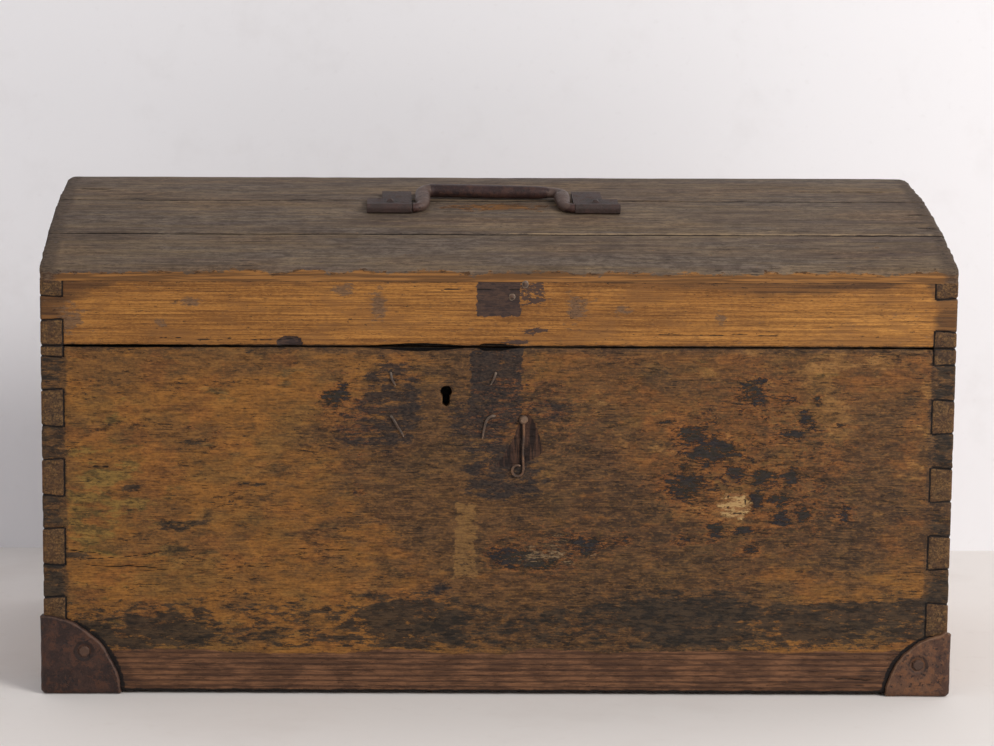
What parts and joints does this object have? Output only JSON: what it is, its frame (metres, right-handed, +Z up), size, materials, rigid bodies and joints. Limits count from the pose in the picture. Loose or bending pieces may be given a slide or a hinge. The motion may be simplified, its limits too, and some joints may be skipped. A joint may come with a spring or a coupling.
{
  "type": "carpenters tool chest",
  "caption": "Dovetailed wooden tool chest with a hinged arched lid, iron corner plates, a bail handle on the lid, a nailed box lock and a small hook.",
  "frame": {"origin": "on the floor under the middle of the overall box", "axes": "+X along the front to its right-hand end, +Y from the front to the back, +Z up"},
  "size_m": [0.8088, 0.4248, 0.4545],
  "materials": {
    "body_wood": "worn, dirty, satin",
    "bottom_wood": "raw, dusty",
    "rail_wood": "worn, satin",
    "lid_wood": "weathered grey, matt",
    "plate_iron": "rusted",
    "nail_iron": "rusted",
    "hinge_iron": "rusted",
    "lock_iron": "dark, oiled",
    "handle_iron": "dark, rubbed"
  },
  "bodies": {
    "chest": {"back_board": "body_wood", "bottom_board_1": "bottom_wood", "bottom_board_2": "bottom_wood", "bottom_board_3": "bottom_wood", "bottom_board_4": "bottom_wood", "bottom_cleat_back": "bottom_wood", "bottom_cleat_front": "bottom_wood", "bottom_nails": "nail_iron", "corner_plate_back_left": "plate_iron", "corner_plate_back_right": "plate_iron", "corner_plate_front_left": "plate_iron", "corner_plate_front_right": "plate_iron", "corner_plate_nails": "nail_iron", "front_board": "body_wood", "hinge_lower_leaf_left": "hinge_iron", "hinge_lower_leaf_right": "hinge_iron", "hinge_lower_nails": "nail_iron", "hinge_pin_left": "hinge_iron", "hinge_pin_right": "hinge_iron", "hook_nail": "lock_iron", "lock_bolt_guide": "lock_iron", "lock_bolt_stud": "lock_iron", "lock_case": "lock_iron", "lock_key_post": "lock_iron", "lock_nails": "nail_iron", "lock_plate": "lock_iron", "lock_spring": "lock_iron", "side_board_left": "body_wood", "side_board_right": "body_wood"},
    "lid": {"handle_bracket_left": "handle_iron", "handle_bracket_nails": "nail_iron", "handle_bracket_right": "handle_iron", "hinge_upper_leaf_left": "hinge_iron", "hinge_upper_leaf_right": "hinge_iron", "hinge_upper_nails": "nail_iron", "lid_back_rail": "rail_wood", "lid_board_back_1": "lid_wood", "lid_board_back_2": "lid_wood", "lid_board_back_3": "lid_wood", "lid_board_brads": "nail_iron", "lid_board_front_1": "lid_wood", "lid_board_front_2": "lid_wood", "lid_board_front_3": "lid_wood", "lid_end_left": "rail_wood", "lid_end_right": "rail_wood", "lid_front_rail": "rail_wood", "lid_staple": "lock_iron", "lid_staple_nails": "nail_iron", "old_hasp_nails": "nail_iron"},
    "handle": {"handle": "handle_iron"},
    "hook": {"hook": "lock_iron"},
    "lock_bolt": {"lock_bolt": "lock_iron"}
  },
  "joints": [
    {"name": "lid_hinge", "type": "hinge", "parent": "chest", "child": "lid", "pos_m": [0, 0.20738, 0.3102], "axis": [-1, 0, 0], "range_deg": [0, 180]},
    {"name": "handle_pivot", "type": "hinge", "parent": "lid", "child": "handle", "pos_m": [0, -0.11626, 0.42868], "axis": [1, 0, 0], "range_deg": [0, 177.4]},
    {"name": "lock_bolt_slide", "type": "slide", "parent": "chest", "child": "lock_bolt", "axis": [1, 0, 0], "range_m": [0, 0.01]},
    {"name": "hook_swing", "type": "hinge", "parent": "chest", "child": "hook", "pos_m": [0.0225, -0.20943, 0.2465], "axis": [0, 1, 0], "range_deg": [-180, 40]}
  ]
}
